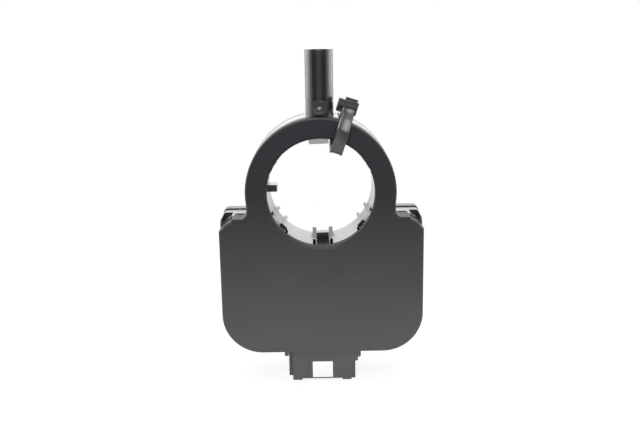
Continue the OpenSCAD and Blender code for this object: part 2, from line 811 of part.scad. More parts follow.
module connector_terminals() {
    color(metal) for (x = terminal_xs) {
        translate([x - pin / 2, pin_y - pin / 2, pin_low]) cube([pin, pin, pin_board_z + pin / 2 - pin_low]);
        translate([x - pin / 2, pin_y - pin / 2, pin_board_z - pin / 2])
            cube([pin, board_y1 + pin_tail - pin_y + pin / 2, pin]);
    }
}

module label() {
    color("white") translate([conn_x + label_shift - label_w / 2, conn_y - label_t, conn_low + foot_h + label_drop])
        cube([label_w, label_t, label_h]);
}

// Cable tie: the strap's middle line in depth against height, from the cut tail through the head,
// down the front, through the bore, up the back and over the ring to the head again
tie_path = concat(
    [[tie_tail_y, tie_head_z[1] + tie_tail], [tie_tail_y, tie_head_z[0] + 1]],
    [[tie_tail_y - 0.5, tie_head_z[0] - 0.2], [tie_tail_y - 1.7, tie_head_z[0] - 0.9],
        [tie_front + 2, tie_head_z[0] - 1.1], [tie_front + 0.6, tie_head_z[0] - 1.6],
        [tie_front - 0.1, tie_head_z[0] - 2.7]],
    [[tie_front, tie_out - 2]],
    arc(tie_front + tie_fold, tie_in + tie_fold, tie_fold, 180, 270, 5),
    arc(tie_back - tie_fold, tie_in + tie_fold, tie_fold, 270, 360, 5),
    arc(tie_back - tie_fold, tie_out - tie_fold, tie_fold, 0, 90, 5),
    [[tie_head_y[1] + 3.6, tie_out], [tie_head_y[1] + 1.6, tie_out + 0.5],
        [tie_head_y[1] + 0.2, tie_out + 1.7], [tie_head_y[1] - 1.2, tie_head_z[0] + 0.8]]);

function unit(v) = v / norm(v);

function side_of(path, i) =
    let (a = path[max(i - 1, 0)], b = path[min(i + 1, len(path) - 1)], v = unit(b - a)) [-v[1], v[0]];

module band(path, t) {
    count = len(path);
    polygon(concat([for (i = [0 : count - 1]) path[i] + side_of(path, i) * t / 2],
        [for (i = [count - 1 : -1 : 0]) path[i] - side_of(path, i) * t / 2]));
}

module cable_tie() {
    color(black_gloss) rotate([0, tie_angle, 0]) translate([tie_shift, 0, 0]) {
        translate([-tie_w / 2, 0, 0]) rotate([90, 0, 90]) linear_extrude(tie_w) band(tie_path, tie_t);
        translate([tie_head_shift - tie_head_w / 2, tie_head_y[0], tie_head_z[0]])
            cube([tie_head_w, tie_head_y[1] - tie_head_y[0], tie_head_z[1] - tie_head_z[0]]);
    }
}

front_cover();
main_housing();
rear_cover();
rotor_hub();
measuring_gear_a();
measuring_gear_b();
magnet_a();
magnet_b();
circuit_board();
sensor_chip_a();
sensor_chip_b();
microcontroller();
bus_transceiver();
voltage_regulator();
choke_coil();
crystal();
supply_capacitor();
capacitors();
resistors();
connector_terminals();
label();
cable_tie();
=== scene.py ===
"""Dresses a steering angle sensor: moulded plastics, a ribbed cable tie, a blank label and a studio."""

import json
import math

import bpy
from bpy.props import FloatProperty, FloatVectorProperty, PointerProperty
from mathutils import Matrix, Vector


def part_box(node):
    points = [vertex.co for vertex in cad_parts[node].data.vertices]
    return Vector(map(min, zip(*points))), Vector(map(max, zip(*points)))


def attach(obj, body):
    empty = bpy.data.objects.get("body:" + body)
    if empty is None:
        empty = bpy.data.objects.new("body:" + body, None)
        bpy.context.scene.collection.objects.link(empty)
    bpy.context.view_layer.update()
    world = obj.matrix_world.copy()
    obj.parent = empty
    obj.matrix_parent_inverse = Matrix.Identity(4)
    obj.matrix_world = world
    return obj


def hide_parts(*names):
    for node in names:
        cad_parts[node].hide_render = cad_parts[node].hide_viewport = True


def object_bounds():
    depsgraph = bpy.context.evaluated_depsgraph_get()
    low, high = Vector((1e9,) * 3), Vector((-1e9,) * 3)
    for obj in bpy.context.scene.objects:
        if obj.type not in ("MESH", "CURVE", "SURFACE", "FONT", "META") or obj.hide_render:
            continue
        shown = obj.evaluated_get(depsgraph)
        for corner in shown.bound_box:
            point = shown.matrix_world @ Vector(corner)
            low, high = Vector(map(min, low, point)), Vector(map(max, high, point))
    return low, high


bl_info = {
    "name": "Steering Angle Sensor",
    "version": (1, 0, 0),
    "blender": (4, 5, 0),
    "location": "View3D > Sidebar > Sensor",
    "description": "Finishes a packed steering angle sensor and sets it in a small studio",
    "category": "Object",
}

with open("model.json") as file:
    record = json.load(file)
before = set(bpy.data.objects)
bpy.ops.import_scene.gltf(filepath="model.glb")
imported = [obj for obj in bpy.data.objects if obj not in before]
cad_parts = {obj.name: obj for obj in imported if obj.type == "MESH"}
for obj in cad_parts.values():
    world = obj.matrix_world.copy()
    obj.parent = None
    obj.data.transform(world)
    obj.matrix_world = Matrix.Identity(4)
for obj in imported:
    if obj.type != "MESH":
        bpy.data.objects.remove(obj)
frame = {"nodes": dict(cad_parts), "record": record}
CAD_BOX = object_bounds()

IMAGE_WIDTH = 640
SENSOR_WIDTH = 36.0

# Places on the solids, in metres: depths run from front to back

TAB_DEPTHS = (0.0099, 0.0118)
RAMP_BACK = 0.0119
KEY_DEPTHS = (0.0119, 0.0181)
HOOK_DEPTHS = (0.005, 0.0079)
HOOK_TIP = 0.0182
HOOK_REACH = 0.003
SHOULDER_FOOT = -0.0135
HOUSING_SHOULDER_DEPTHS = (0.00665, 0.01795)
HOUSING_SHOULDER_INNER = 0.0338
REAR_SHOULDER_DEPTHS = (0.01855, 0.0236)
REAR_SHOULDER_INNER = 0.0282
POCKET_DEPTHS = (0.006, 0.0132)
STALK_DEPTH = 0.0073
STALK_RADIUS = 0.005
STALK_FOOT = (0.0268, 0.0334)
# Depths behind which the painted light on the lower front gives way, so the recessed parts keep painted shade
COVER_BACK = (0.0079, 0.0072)

# How far an added form reaches into its wall, how near counts as the same place, and how near
# points are merged

ROOT = 0.0003
NEAR = 0.00005
MERGE = 0.000001

# Steps along the scallops of the cover: inset from the body's side, and height

SCALLOPS = ((0.0047, -0.0089), (0.004, -0.00998), (0.0018, -0.01125), (0.0012, -0.012))
SCALLOP_END = -0.01232

# The strap's route in depth and height: from the head's underside at the tail, then at the strap's
# front line, and last from the ring's top behind the head

TAIL_BEND = ((0.0, 0.003), (-0.0002, 0.0018), (-0.0005, 0.0009))
FRONT_HUMP = (
    (0.0029, 0.0002), (0.0021, -0.0007), (0.0013, -0.0016), (0.0007, -0.0026), (0.0002, -0.0037),
    (-0.0003, -0.0049), (-0.0007, -0.0059), (-0.00075, -0.0063), (-0.00075, -0.0096), (-0.0006, -0.0105),
    (-0.00035, -0.0113), (-0.0001, -0.0119),
)
BACK_RISE = ((0.0036, 0.0), (0.0016, 0.0005), (0.0002, 0.0017))
BACK_ENTRY = (-0.0012, 0.0008)


# Shader arithmetic


class Wire:
    """A shader socket that takes part in arithmetic. Each operation adds a Math node."""

    def __init__(self, tree, socket):
        self.tree = tree
        self.socket = socket

    def _math(self, operation, first, second=None):
        node = self.tree.nodes.new("ShaderNodeMath")
        node.operation = operation
        for slot_index, value in enumerate((first, second)):
            if isinstance(value, Wire):
                self.tree.links.new(value.socket, node.inputs[slot_index])
            elif value is not None:
                node.inputs[slot_index].default_value = value
        return Wire(self.tree, node.outputs[0])

    def __add__(self, other):
        return self._math("ADD", self, other)

    def __radd__(self, other):
        return self._math("ADD", other, self)

    def __sub__(self, other):
        return self._math("SUBTRACT", self, other)

    def __rsub__(self, other):
        return self._math("SUBTRACT", other, self)

    def __mul__(self, other):
        return self._math("MULTIPLY", self, other)

    def __rmul__(self, other):
        return self._math("MULTIPLY", other, self)

    def __pow__(self, other):
        return self._math("POWER", self, other)


def coloured(values):
    return (*values, 1.0)


class Recipe:
    """A material's node tree, filled by calls that name a node's type, settings and inputs."""

    def __init__(self, name):
        self.material = bpy.data.materials.new(name)
        self.material.use_nodes = True
        self.tree = self.material.node_tree
        self.tree.nodes.clear()

    def node(self, kind, settings=None, inputs=None, output=0):
        made = self.tree.nodes.new(kind)
        for key, value in (settings or {}).items():
            setattr(made, key, value)
        for key, value in (inputs or {}).items():
            if isinstance(value, Wire):
                self.tree.links.new(value.socket, made.inputs[key])
            else:
                made.inputs[key].default_value = value
        return Wire(self.tree, made.outputs[output]) if made.outputs else None

    def place(self):
        """Object coordinates, in metres."""
        return self.node("ShaderNodeTexCoord", output=3)

    def along(self, axis):
        """One of the object coordinates: 0 for X, 1 for Y and 2 for Z."""
        return self.node("ShaderNodeSeparateXYZ", None, {"Vector": self.place()}, output=axis)

    def noise(self, scale, detail=3.0, stretch=(1.0, 1.0, 1.0), roughness=0.5, shift=(0.0, 0.0, 0.0)):
        mapped = self.node(
            "ShaderNodeMapping",
            {"vector_type": "POINT"},
            {"Vector": self.place(), "Scale": stretch, "Location": shift},
        )
        return self.node(
            "ShaderNodeTexNoise",
            {"noise_dimensions": "3D"},
            {"Vector": mapped, "Scale": scale, "Detail": detail, "Roughness": roughness},
        )

    def ramp(self, factor, low, high):
        """Zero below low, one above high, and straight between."""
        return self.node(
            "ShaderNodeMapRange",
            {"clamp": True},
            {"Value": factor, "From Min": low, "From Max": high, "To Min": 0.0, "To Max": 1.0},
        )

    def mix(self, factor, first, second):
        """Mixes two colours."""
        made = self.tree.nodes.new("ShaderNodeMix")
        made.data_type = "RGBA"
        for index, value in ((0, factor), (6, first), (7, second)):
            if isinstance(value, Wire):
                self.tree.links.new(value.socket, made.inputs[index])
            elif index == 0:
                made.inputs[index].default_value = value
            else:
                made.inputs[index].default_value = coloured(value)
        return Wire(self.tree, made.outputs[2])

    def soft_edges(self, radius):
        """Normals that turn over the edges as if they were rounded by this radius."""
        return self.node("ShaderNodeBevel", {"samples": 6}, {"Radius": radius})

    def edge_mask(self, radius):
        """One along the edges and zero on the open faces."""
        rounded = self.soft_edges(radius)
        plain = self.node("ShaderNodeNewGeometry", output=1)
        dot = self.node(
            "ShaderNodeVectorMath", {"operation": "DOT_PRODUCT"}, {0: rounded, 1: plain}, output=1
        )
        return self.ramp(1.0 - dot, 0.01, 0.25)

    def bump(self, height, distance, strength=1.0, normal=None):
        inputs = {"Height": height, "Distance": distance, "Strength": strength}
        if normal is not None:
            inputs["Normal"] = normal
        return self.node("ShaderNodeBump", None, inputs)

    def finish(self, **inputs):
        shader = self.node("ShaderNodeBsdfPrincipled", None, inputs)
        self.node("ShaderNodeOutputMaterial", None, {"Surface": shader})
        return self.material


# Materials


def moulded_plastic(name, colour, rough, grain_depth, wear_and_edge_highlight, edge_radius=0.00022, coat=0.0, painted_light=0.0, ior=1.5):
    """Black moulded plastic: fine spark-eroded grain, rubbed patches, hairline scratches, paler edges that
    are partly rubbed wear and partly painted highlight and, where painted light is given, a greyer lower
    front that is painted light thrown up from the floor."""
    recipe = Recipe(name)
    settings = bpy.context.scene.sensor_finish
    cloud = recipe.noise(38.0, 4.0)
    rubbed = recipe.ramp(recipe.noise(90.0, 5.0, (1.0, 1.0, 1.6), shift=(3.0, 1.0, 7.0)), 0.5, 0.72)
    scratches = recipe.ramp(recipe.noise(420.0, 2.0, (1.0, 1.0, 0.06), 0.6), 0.64, 0.7)
    cross = recipe.ramp(recipe.noise(380.0, 2.0, (0.05, 1.0, 1.0), 0.6, (2.0, 5.0, 1.0)), 0.66, 0.72)
    edges = recipe.edge_mask(edge_radius * 1.5)
    pale = tuple(min(1.0, c * 2.1 + 0.01) for c in colour)
    deep = tuple(c * 0.78 for c in colour)
    body = recipe.mix(cloud, deep, tuple(c * 1.2 for c in colour))
    body = recipe.mix(rubbed * (0.12 * wear_and_edge_highlight), body, pale)
    # Painted light: the lower front is made paler, standing in for light thrown up from the bright floor, and
    # parts behind COVER_BACK keep painted shade
    if painted_light:
        painted_light_mask = recipe.ramp(recipe.along(2), settings.painted_light_top, settings.painted_light_low)
        painted_light_mask = painted_light_mask * recipe.ramp(recipe.along(1), *COVER_BACK)
        body = recipe.mix(painted_light_mask * (painted_light + (cloud - 0.5) * 0.2), body, tuple(settings.painted_light_colour))
    # Paler edges: partly rubbed wear, partly a painted highlight along the bevels
    body = recipe.mix(edges * (0.45 * wear_and_edge_highlight), body, pale)
    gloss = rough + (cloud - 0.5) * 0.12 - rubbed * (0.06 * wear_and_edge_highlight) + (scratches + cross) * (0.05 * wear_and_edge_highlight)
    grain = recipe.noise(settings.grain_scale, 2.0)
    height = grain * grain_depth - (scratches + cross) * 0.15 * wear_and_edge_highlight
    normal = recipe.bump(height, settings.grain_height, 1.0, recipe.soft_edges(edge_radius))
    return recipe.finish(
        **{"Base Color": body, "Roughness": gloss, "Normal": normal, "IOR": ior, "Coat Weight": coat,
           "Coat Roughness": settings.coat_roughness}
    )


def clean_plastic(name, colour, rough, edge_radius=0.00015):
    """Even plastic for small hidden parts, with a slight cloudiness and soft edges."""
    recipe = Recipe(name)
    cloud = recipe.noise(140.0, 3.0)
    body = recipe.mix(cloud, tuple(c * 0.86 for c in colour), tuple(min(1.0, c * 1.1) for c in colour))
    normal = recipe.bump(recipe.noise(2600.0, 2.0), 0.00002, 0.6, recipe.soft_edges(edge_radius))
    return recipe.finish(**{"Base Color": body, "Roughness": rough + (cloud - 0.5) * 0.1, "Normal": normal})


def worked_metal(name, colour, rough):
    """Plated or drawn metal with fine lines along its length."""
    recipe = Recipe(name)
    lines = recipe.noise(1800.0, 2.0, (1.0, 1.0, 0.05))
    body = recipe.mix(lines, tuple(c * 0.8 for c in colour), colour)
    normal = recipe.bump(lines, 0.00001, 0.5, recipe.soft_edges(0.00008))
    return recipe.finish(
        **{"Base Color": body, "Metallic": 1.0, "Roughness": rough + (lines - 0.5) * 0.15, "Normal": normal}
    )


def board_lacquer(name, colour):
    """Green solder mask over a faint weave."""
    recipe = Recipe(name)
    weave = recipe.node(
        "ShaderNodeTexChecker",
        None,
        {"Vector": recipe.place(), "Scale": 1600.0, "Color1": coloured(colour),
         "Color2": coloured(tuple(c * 0.8 for c in colour))},
    )
    cloud = recipe.noise(220.0, 3.0)
    body = recipe.mix(cloud * 0.4, weave, tuple(c * 1.3 for c in colour))
    return recipe.finish(**{"Base Color": body, "Roughness": 0.32 + cloud * 0.1})


def label_paper(name, colour):
    """White film with a faint fibre and softly rounded edges."""
    recipe = Recipe(name)
    fibre = recipe.noise(1500.0, 4.0)
    body = recipe.mix(fibre * 0.12, colour, tuple(c * 0.7 for c in colour))
    normal = recipe.bump(fibre, 0.00001, 0.5, recipe.soft_edges(0.00005))
    return recipe.finish(**{"Base Color": body, "Roughness": 0.45 + fibre * 0.1, "Normal": normal})


def make_finishes():
    """One material for each of the record's slots."""
    finish = bpy.context.scene.sensor_finish
    cover = tuple(finish.cover_colour)
    housing = tuple(finish.housing_colour)
    return {
        # The cover and the housing get painted light on their lower front
        "cover_plastic": moulded_plastic("cover grain", cover, finish.cover_roughness, 1.0, 1.0, painted_light=0.6),
        "housing_plastic": moulded_plastic(
            "housing gloss", housing, finish.housing_roughness, 0.35, 0.6, coat=finish.coat, painted_light=0.32
        ),
        "rear_plastic": moulded_plastic(
            "rear satin", cover, finish.cover_roughness - 0.06, 0.6, 0.8, coat=finish.coat / 2
        ),
        "rotor_plastic": moulded_plastic(
            "rotor gloss", tuple(finish.rotor_colour), finish.rotor_roughness, 0.25, 0.1, coat=finish.coat,
            ior=1.35,
        ),
        "tie_plastic": moulded_plastic(
            "tie nylon", tuple(finish.tie_colour), finish.tie_roughness, 0.3, 0.4, 0.00012, finish.coat
        ),
        "gear_plastic": clean_plastic("acetal", (0.75, 0.73, 0.66), 0.4),
        "magnet": worked_metal("bonded magnet", (0.3, 0.3, 0.31), 0.55),
        "board": board_lacquer("solder mask", (0.03, 0.16, 0.07)),
        "chip": clean_plastic("epoxy", (0.03, 0.03, 0.033), 0.6),
        "can_metal": worked_metal("drawn can", (0.72, 0.72, 0.7), 0.25),
        "capacitor_case": clean_plastic("ochre case", (0.6, 0.38, 0.08), 0.5),
        "ceramic": clean_plastic("ceramic", (0.42, 0.3, 0.2), 0.5),
        "terminal_metal": worked_metal("tin plate", (0.75, 0.73, 0.68), 0.3),
        "label_film": label_paper("label film", tuple(finish.label_colour)),
    }


# Mesh helpers


def deselect():
    if bpy.context.object and bpy.context.object.mode != "OBJECT":
        bpy.ops.object.mode_set(mode="OBJECT")
    bpy.ops.object.select_all(action="DESELECT")


def select_where(piece, test, mode="FACE"):
    """Select the faces or edges whose middle and normal pass a test, in edit mode."""
    bpy.ops.object.mode_set(mode="EDIT")
    bpy.ops.mesh.select_mode(type=mode)
    bpy.ops.mesh.select_all(action="DESELECT")
    bpy.ops.object.mode_set(mode="OBJECT")
    points = piece.data.vertices
    if mode == "FACE":
        for face in piece.data.polygons:
            face.select = test(face.center, face.normal)
    else:
        for edge in piece.data.edges:
            first, second = (points[i].co for i in edge.vertices)
            edge.select = test(first, second)
    bpy.ops.object.mode_set(mode="EDIT")


def bisect(piece, point, normal):
    """Cut the whole mesh along a plane and keep both sides."""
    bpy.ops.object.mode_set(mode="EDIT")
    bpy.ops.mesh.select_all(action="SELECT")
    bpy.ops.mesh.bisect(plane_co=point, plane_no=normal)
    bpy.ops.object.mode_set(mode="OBJECT")


def apply_modifier(piece, kind, **settings):
    modifier = piece.modifiers.new(kind.lower(), kind)
    for key, value in settings.items():
        setattr(modifier, key, value)
    bpy.context.view_layer.objects.active = piece
    bpy.ops.object.modifier_apply(modifier=modifier.name)


def round_edges(piece, width):
    """Bevel the edges that turn by more than 40 degrees."""
    turn = math.radians(40)
    apply_modifier(piece, "BEVEL", width=width, segments=2, limit_method="ANGLE", angle_limit=turn)


def arc(centre, radius, start, end, steps):
    """Points on an arc in depth and height, with both ends."""
    angles = [start + (end - start) * i / steps for i in range(steps + 1)]
    return [(centre[0] + radius * math.cos(a), centre[1] + radius * math.sin(a)) for a in angles]


def merged_copy(node, name):
    """A new piece that starts from a merged copy of a solid's mesh."""
    deselect()
    piece = bpy.data.objects.new(name, frame["nodes"][node].data.copy())
    bpy.context.collection.objects.link(piece)
    piece.select_set(True)
    bpy.context.view_layer.objects.active = piece
    bpy.ops.mesh.customdata_custom_splitnormals_clear()
    bpy.ops.object.mode_set(mode="EDIT")
    bpy.ops.mesh.select_all(action="SELECT")
    bpy.ops.mesh.remove_doubles(threshold=MERGE)
    bpy.ops.object.mode_set(mode="OBJECT")
    return piece


def plate(points, front, back):
    """A plate with an outline in X and Z, between two depths."""
    outline = bpy.data.curves.new("plate", "CURVE")
    outline.dimensions = "2D"
    outline.fill_mode = "BOTH"
    outline.extrude = (back - front) / 2
    spline = outline.splines.new("POLY")
    spline.points.add(len(points) - 1)
    for point, (x, z) in zip(spline.points, points):
        point.co = (x, z, 0, 1)
    spline.use_cyclic_u = True
    piece = bpy.data.objects.new("plate", outline)
    bpy.context.collection.objects.link(piece)
    deselect()
    piece.select_set(True)
    bpy.context.view_layer.objects.active = piece
    bpy.ops.object.convert(target="MESH")
    piece = bpy.context.object
    upright = Matrix.Rotation(math.pi / 2, 4, "X")
    piece.data.transform(Matrix.Translation((0, (front + back) / 2, 0)) @ upright)
    bpy.ops.object.mode_set(mode="EDIT")
    bpy.ops.mesh.select_all(action="SELECT")
    bpy.ops.mesh.remove_doubles(threshold=MERGE)
    bpy.ops.mesh.dissolve_limited(angle_limit=0.001)
    bpy.ops.mesh.normals_make_consistent(inside=False)
    bpy.ops.object.mode_set(mode="OBJECT")
    return piece


def block(low, high, turn=0.0):
    """A block between two corners, then turned about the bore's axis."""
    deselect()
    bpy.ops.mesh.primitive_cube_add(size=1, location=[(a + b) / 2 for a, b in zip(low, high)])
    piece = bpy.context.object
    piece.scale = [b - a for a, b in zip(low, high)]
    bpy.ops.object.transform_apply(location=True, rotation=True, scale=True)
    piece.data.transform(Matrix.Rotation(turn, 4, "Y"))
    return piece


def work(piece, tool, operation):
    """Cut a tool's shape from a piece, or add it, and put the tool away."""
    deselect()
    piece.select_set(True)
    before = len(piece.data.polygons)
    apply_modifier(piece, "BOOLEAN", operation=operation, object=tool, solver="EXACT")
    bpy.data.objects.remove(tool)
    after = len(piece.data.polygons)
    if after < before * 0.8:
        raise RuntimeError(f"{piece.name} lost faces when it was worked on: {before} to {after}")


def finish_piece(piece, node, body, smooth=12):
    """Give a piece its solid's finish, body and slot, and let it stand for the solid."""
    deselect()
    piece.select_set(True)
    bpy.context.view_layer.objects.active = piece
    bpy.ops.object.mode_set(mode="EDIT")
    bpy.ops.mesh.select_all(action="SELECT")
    bpy.ops.mesh.dissolve_degenerate(threshold=2 * MERGE)
    bpy.ops.mesh.dissolve_limited(angle_limit=0.002)
    bpy.ops.object.mode_set(mode="OBJECT")
    bpy.ops.object.shade_smooth_by_angle(angle=math.radians(smooth))
    piece.data.materials.clear()
    piece.data.materials.append(frame["nodes"][node].data.materials[0])
    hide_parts(node)
    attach(piece, body)


def look_at(location, target):
    return (Vector(target) - Vector(location)).to_track_quat("-Z", "Y")


# Settings


class SensorFinish(bpy.types.PropertyGroup):
    """Colours and gloss of the visible plastics."""

    cover_colour: FloatVectorProperty(
        name="Cover colour", description="Base colour of the matt covers",
        default=(0.0068, 0.0062, 0.0105), subtype="COLOR", min=0.0, max=1.0,
    )
    housing_colour: FloatVectorProperty(
        name="Housing colour", description="Base colour of the glossier mouldings",
        default=(0.022, 0.022, 0.024), subtype="COLOR", min=0.0, max=1.0,
    )
    rotor_colour: FloatVectorProperty(
        name="Rotor colour", description="Base colour of the rotor",
        default=(0.009, 0.009, 0.01), subtype="COLOR", min=0.0, max=1.0,
    )
    tie_colour: FloatVectorProperty(
        name="Tie colour", description="Base colour of the cable tie",
        default=(0.031, 0.03, 0.034), subtype="COLOR", min=0.0, max=1.0,
    )
    label_colour: FloatVectorProperty(
        name="Label colour", description="Base colour of the blank label",
        default=(0.93, 0.93, 0.93), subtype="COLOR", min=0.0, max=1.0,
    )
    # Painted light on the lower front of the covers and housing: its colour and the heights over which it
    # comes in
    painted_light_colour: FloatVectorProperty(
        name="Painted light colour", description="Colour of the greyed lower half",
        default=(0.09, 0.089, 0.091), subtype="COLOR", min=0.0, max=1.0,
    )
    painted_light_top: FloatProperty(
        name="Painted light top", description="Height at which the greying starts", default=-0.003, unit="LENGTH",
    )
    painted_light_low: FloatProperty(
        name="Painted light low", description="Height at which the greying is full", default=-0.058, unit="LENGTH",
    )
    coat: FloatProperty(
        name="Coat", description="Gloss layer on the smooth mouldings", default=0.8, min=0.0, max=1.0,
    )
    coat_roughness: FloatProperty(
        name="Coat roughness", description="Roughness of the gloss layer", default=0.25, min=0.0, max=1.0,
    )
    cover_roughness: FloatProperty(
        name="Cover roughness", description="Roughness of the matt covers", default=0.5, min=0.0, max=1.0,
    )
    housing_roughness: FloatProperty(
        name="Housing roughness", description="Roughness of the main housing", default=0.34, min=0.0, max=1.0,
    )
    rotor_roughness: FloatProperty(
        name="Rotor roughness", description="Roughness of the rotor", default=0.26, min=0.0, max=1.0,
    )
    tie_roughness: FloatProperty(
        name="Tie roughness", description="Roughness of the cable tie", default=0.34, min=0.0, max=1.0,
    )
    grain_scale: FloatProperty(
        name="Grain scale", description="Grains of the moulded texture in a metre", default=3200.0, min=100.0,
    )
    grain_height: FloatProperty(
        name="Grain height", description="Depth of the moulded texture", default=0.00002, min=0.0,
        unit="LENGTH", precision=6,
    )


class MouldingSizes(bpy.types.PropertyGroup):
    """Sizes of the finer forms on the rotor, the shoulders and the guide post."""

    lean: FloatProperty(
        name="Rotor lean", description="Turn of the rotor's tabs from upright", default=math.radians(1.6),
        subtype="ANGLE",
    )
    clip_turn: FloatProperty(
        name="Clip turn", description="Turn of the clip tongues from the tabs", default=math.radians(55),
        subtype="ANGLE",
    )
    tab_width: FloatProperty(
        name="Tab width", description="Width of the drive tabs", default=0.0047, unit="LENGTH",
    )
    tab_tip: FloatProperty(
        name="Tab tip", description="Radius to which the drive tabs reach in", default=0.0171, unit="LENGTH",
    )
    sleeve: FloatProperty(
        name="Sleeve", description="Inner radius of the rotor's sleeve", default=0.02, unit="LENGTH",
    )
    ramp_width: FloatProperty(
        name="Ramp width", description="Width of the upper tab's lead-in ramp", default=0.0074, unit="LENGTH",
    )
    ramp_front: FloatProperty(
        name="Ramp front", description="Depth at which the upper tab's ramp starts",
        default=0.0045, unit="LENGTH",
    )
    ramp_tip: FloatProperty(
        name="Ramp tip", description="Radius to which the upper tab's ramp reaches in",
        default=0.0168, unit="LENGTH",
    )
    key_tip: FloatProperty(
        name="Key tip", description="Radius to which the key reaches in", default=0.01668, unit="LENGTH",
    )
    key_height: FloatProperty(
        name="Key height", description="Height of the key", default=0.0026, unit="LENGTH",
    )
    hook_left: FloatProperty(
        name="Upper hooks", description="Height that the hooks on the upper clip tongues keep",
        default=0.0002,
        unit="LENGTH",
    )
    hook_width: FloatProperty(
        name="Hook width", description="Width of the hooks on the lower clip tongues",
        default=0.0046, unit="LENGTH",
    )
    clip_width: FloatProperty(
        name="Clip width", description="Width of the clip tongues", default=0.0076, unit="LENGTH",
    )
    half_width: FloatProperty(
        name="Half width", description="Half the width of the lower body", default=0.0382, unit="LENGTH",
    )
    shoulder: FloatProperty(
        name="Shoulder", description="Height of the housing's shoulders", default=-0.0094, unit="LENGTH",
    )
    shoulder_radius: FloatProperty(
        name="Shoulder radius", description="Radius of the shoulders' corners", default=0.002, unit="LENGTH",
    )
    rear_rise: FloatProperty(
        name="Rear rise", description="Step from the housing's shoulders up to the rear cover's",
        default=0.0004,
        unit="LENGTH",
    )
    pocket_wall: FloatProperty(
        name="Pocket wall", description="Thickness of the wall outside the shoulder pockets", default=0.0009,
        unit="LENGTH",
    )
    stalk_swell: FloatProperty(
        name="Stalk swell", description="Widening of the guide post", default=1.035, min=1.0, max=1.1,
    )


class CableTieSizes(bpy.types.PropertyGroup):
    """Sizes of the cable tie round the ring."""

    lean: FloatProperty(
        name="Lean", description="Turn of the tie to the right of the stalk", default=math.radians(17.7),
        subtype="ANGLE",
    )
    shift: FloatProperty(
        name="Shift", description="Shift of the strap to the right in its own plane",
        default=0.0009, unit="LENGTH",
    )
    width: FloatProperty(name="Width", description="Width of the strap", default=0.0046, unit="LENGTH")
    thickness: FloatProperty(
        name="Thickness", description="Thickness of the strap", default=0.001, unit="LENGTH",
    )
    rail: FloatProperty(
        name="Rail", description="Width of the raised rails along the strap", default=0.0008, unit="LENGTH",
    )
    channel: FloatProperty(
        name="Channel", description="Depth of the channel between the rails", default=0.0002, unit="LENGTH",
    )
    bore_reach: FloatProperty(
        name="Bore reach", description="Height of the strap inside the bore", default=0.0159, unit="LENGTH",
    )
    fold: FloatProperty(
        name="Fold", description="Radius of the strap's folds", default=0.0024, unit="LENGTH",
    )
    head_width: FloatProperty(
        name="Head width", description="Width of the head", default=0.0074, unit="LENGTH",
    )
    head_height: FloatProperty(
        name="Head height", description="Height of the head", default=0.0048, unit="LENGTH",
    )
    head_depth: FloatProperty(
        name="Head depth", description="Depth of the head", default=0.0058, unit="LENGTH",
    )
    head_front: FloatProperty(
        name="Head front", description="Distance of the head behind the front face",
        default=0.0016, unit="LENGTH",
    )
    head_lift: FloatProperty(
        name="Head lift", description="Gap between the ring and the head", default=0.0026, unit="LENGTH",
    )
    head_shift: FloatProperty(
        name="Head shift", description="Shift of the head against the strap", default=-0.0008, unit="LENGTH",
    )
    tail: FloatProperty(
        name="Tail", description="Length of the cut tail above the head", default=0.001, unit="LENGTH",
    )
    tail_inset: FloatProperty(
        name="Tail inset", description="Distance of the tail behind the head's front", default=0.0013,
        unit="LENGTH",
    )
    tooth_pitch: FloatProperty(
        name="Tooth pitch", description="Distance between the tail's teeth", default=0.0007, unit="LENGTH",
    )
    window_height: FloatProperty(
        name="Window height", description="Height of the head's window", default=0.0024, unit="LENGTH",
    )
    window_depth: FloatProperty(
        name="Window depth", description="Depth of the head's window", default=0.0012, unit="LENGTH",
    )
    cheek_depth: FloatProperty(
        name="Cheek depth", description="Depth of the hollow in the head's left cheek", default=0.0024,
        unit="LENGTH",
    )
    edge_bevel: FloatProperty(
        name="Edge bevel", description="Width of the strap's rounded edges", default=0.00012, unit="LENGTH",
    )


